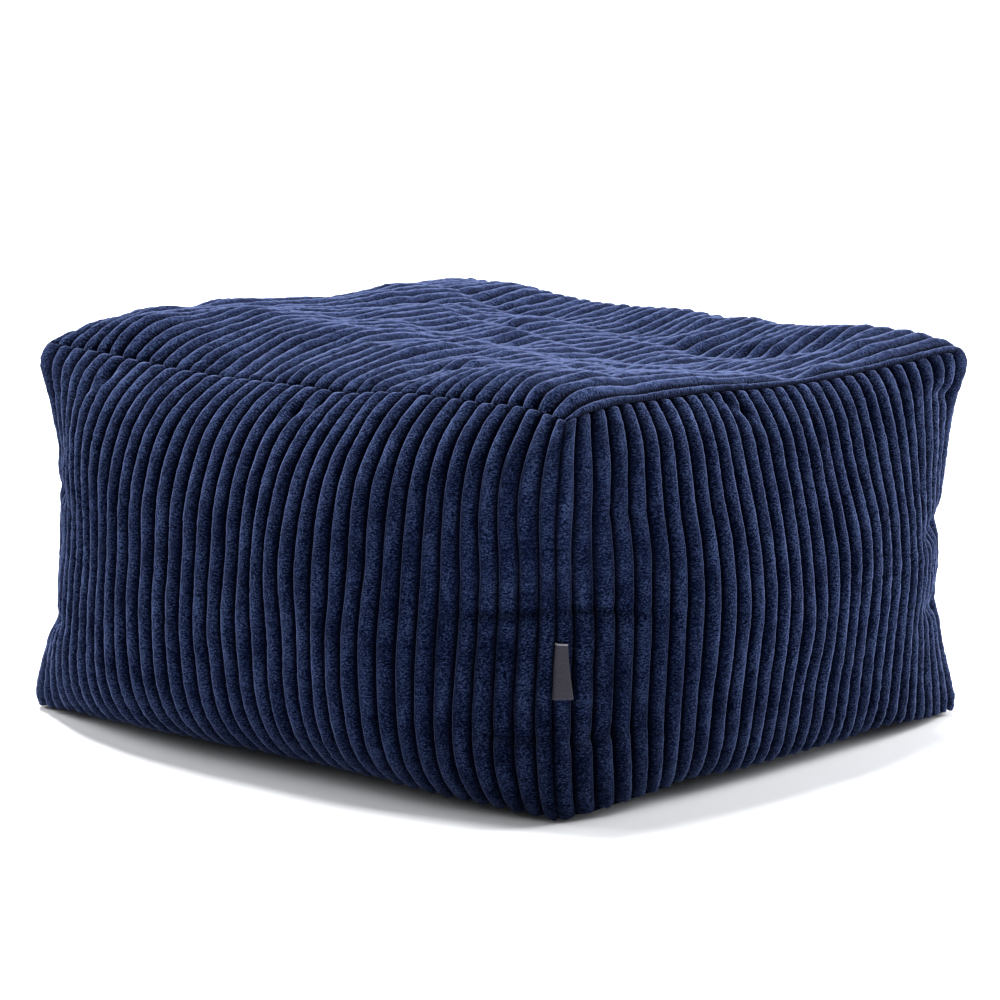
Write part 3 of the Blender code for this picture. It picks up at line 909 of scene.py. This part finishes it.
def make_lights(settings):
    """A soft light at each side, one overhead and an even white room."""
    make_area_light("left_light", LEFT_LIGHT_PLACE, settings.side_light * LEFT_LIGHT_SHARE)
    make_area_light("right_light", RIGHT_LIGHT_PLACE, settings.side_light)
    overhead = bpy.data.lights.new("overhead_light", "SUN")
    overhead.energy = settings.sky_light
    overhead.angle = math.radians(OVERHEAD_SOFTNESS)
    item = bpy.data.objects.new("overhead_light", overhead)
    item.rotation_euler = Vector(OVERHEAD_DIRECTION).to_track_quat("-Z", "Y").to_euler()
    bpy.context.scene.collection.objects.link(item)
    world = bpy.data.worlds.new("white_room")
    world.use_nodes = True
    background = world.node_tree.nodes["Background"]
    background.inputs["Color"].default_value = (1.0, 1.0, 1.0, 1.0)
    background.inputs["Strength"].default_value = settings.room_light
    bpy.context.scene.world = world


def make_camera(settings):
    """The camera, looking at the middle of the footstool."""
    camera = bpy.data.cameras.new("camera")
    camera.lens = settings.lens
    camera.sensor_width = 36.0
    camera.clip_end = 200.0
    item = bpy.data.objects.new("camera", camera)
    level = math.cos(settings.elevation)
    back = Vector((math.sin(settings.azimuth) * level, -math.cos(settings.azimuth) * level,
                   math.sin(settings.elevation)))
    item.location = Vector((0.0, 0.0, settings.look_height)) + back * settings.distance
    item.rotation_euler = (-back).to_track_quat("-Z", "Y").to_euler()
    bpy.context.scene.collection.objects.link(item)
    bpy.context.scene.camera = item


class FOOTSTOOL_OT_cover(bpy.types.Operator):
    """Make the six cord panels of the filled cover"""
    bl_idname = "footstool.cover"
    bl_label = "Cover"

    def execute(self, context):
        """Build every panel of the cover."""
        settings = context.scene.footstool_cover
        material = cord_material(settings)
        for panel in PANELS:
            name = panel + "_panel"
            mesh = make_grid_mesh(name, *cord_panel_points(panel, settings))
            item = new_object(name, mesh, material)
            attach(item, BODY)
            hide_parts("filled_bag")
        return {"FINISHED"}


def right_panel_places(from_seam, height_place, cover):
    """Places on the right panel's cloth by distance from the label's seam, and their outward directions."""
    step = 0.001
    first = -TOP_DEPTH / 2

    def place(distance, level):
        across = (first + np.maximum(distance, 0)) / (TOP_DEPTH / 2)
        return lumpy_surface("right", across, level / (SIDE_LENGTH / 2), cover)

    points = place(from_seam, height_place)
    across = place(np.maximum(from_seam, 0) + step, height_place) - points
    upward = place(from_seam, height_place + step) - points
    outward = np.cross(across, upward)
    return points, outward / np.linalg.norm(outward, axis=-1, keepdims=True)


def label_grid(settings, cover):
    """The folded tape at each place up the label: out of the seam, round its fold and back into it."""
    steps = np.linspace(0, 1, LABEL_STEPS + 1)
    levels = np.linspace(-0.5, 0.5, LABEL_ROWS + 1)
    share, level = np.meshgrid(steps, levels, indexing="ij")
    width = settings.low_width + (settings.high_width - settings.low_width) * (level + 0.5)
    path = share * 2 * (settings.sewn_in + width)
    beyond_seam = settings.sewn_in + width - np.abs(path - settings.sewn_in - width)
    from_seam = np.maximum(beyond_seam - settings.sewn_in, 0)
    layer = np.clip((settings.sewn_in + width - path) / LABEL_FOLD_TURN, -1, 1)
    inside = np.minimum(beyond_seam - settings.sewn_in, 0)
    rise = 1 - np.exp(-from_seam / LABEL_RISE)
    curl = LABEL_CURL * (from_seam / width) ** 2 * (level + 0.5)
    fullness = side_fullness(from_seam, SIDE_LENGTH / 2, cover)
    lift = (LABEL_REST + fullness) * rise + inside + curl + LABEL_LAYER_GAP / 2 * layer
    middle = (LABEL_MIDDLE_HEIGHT / (SEAM_HEIGHT / 2) - 1) * HEIGHT_SHARE * SIDE_LENGTH / 2
    points, outward = right_panel_places(from_seam, middle + level * settings.height, cover)
    tape_places = np.stack((path, (level + 0.5) * settings.height), axis=-1)
    return points + outward * lift[..., None], tape_places, np.ones_like(path)


def tape_material(settings):
    """Fine woven tape with a light thread along its upper end."""
    material, tree, shader = new_material("label_tape")
    tape = weave_places(tree)
    threads = noise_node(tree, stretched(tree, tape, THREADS_PER_METRE), 1.0, 2.0, 0.6)
    dark_thread = tuple(0.6 * part for part in settings.face)
    light_thread = tuple(1.4 * part for part in settings.face)
    shade = ramp_node(tree, threads, ((0.35, dark_thread), (0.65, light_thread)))
    height = tree.nodes.new("ShaderNodeSeparateXYZ")
    tree.links.new(tape, height.inputs["Vector"])
    at_end = math_node(tree, "GREATER_THAN", height.outputs["Y"], settings.height - LABEL_END_THREAD)
    tree.links.new(mix_colours(tree, at_end, shade, tuple(settings.edge)), shader.inputs["Base Color"])
    shader.inputs["Roughness"].default_value = 0.8
    shader.inputs["Specular IOR Level"].default_value = 0.15
    tree.links.new(bump_node(tree, threads, 0.5, THREAD_RELIEF), shader.inputs["Normal"])
    return material


class FOOTSTOOL_OT_side_label(bpy.types.Operator):
    """Make the folded label in the seam between the front and right panels"""
    bl_idname = "footstool.side_label"
    bl_label = "Side label"

    def execute(self, context):
        """Build the label."""
        settings = context.scene.footstool_label
        mesh = make_grid_mesh("folded_label", *label_grid(settings, context.scene.footstool_cover))
        item = new_object("folded_label", mesh, tape_material(settings))
        body = item.modifiers.new("tape", "SOLIDIFY")
        body.thickness = settings.thickness
        body.offset = 0.0
        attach(item, BODY)
        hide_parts("side_label")
        return {"FINISHED"}


class FOOTSTOOL_PT_panel(bpy.types.Panel):
    """Lists the footstool's pieces and their settings"""
    bl_idname = "FOOTSTOOL_PT_panel"
    bl_label = "Bean bag footstool"
    bl_space_type = "VIEW_3D"
    bl_region_type = "UI"
    bl_category = "Footstool"

    def draw(self, context):
        """Draw the settings of each group and the button that builds it."""
        for group, operator in (
                (context.scene.footstool_stage, FOOTSTOOL_OT_stage),
                (context.scene.footstool_cover, FOOTSTOOL_OT_cover),
                (context.scene.footstool_label, FOOTSTOOL_OT_side_label)):
            box = self.layout.box()
            for name in group.__annotations__:
                box.prop(group, name)
            box.operator(operator.bl_idname)


CLASSES = (CoverSettings, LabelSettings, StageSettings, FOOTSTOOL_OT_stage, FOOTSTOOL_OT_cover,
           FOOTSTOOL_OT_side_label, FOOTSTOOL_PT_panel)


def register():
    """Register the classes and the scene's settings."""
    for cls in CLASSES:
        bpy.utils.register_class(cls)
    bpy.types.Scene.footstool_cover = PointerProperty(type=CoverSettings)
    bpy.types.Scene.footstool_label = PointerProperty(type=LabelSettings)
    bpy.types.Scene.footstool_stage = PointerProperty(type=StageSettings)


def unregister():
    """Remove the settings and the classes."""
    del bpy.types.Scene.footstool_stage
    del bpy.types.Scene.footstool_label
    del bpy.types.Scene.footstool_cover
    for cls in reversed(CLASSES):
        bpy.utils.unregister_class(cls)


def main():
    """Build the footstool."""
    register()
    bpy.ops.footstool.stage()
    bpy.ops.footstool.cover()
    bpy.ops.footstool.side_label()


if __name__ == "__main__":
    main()
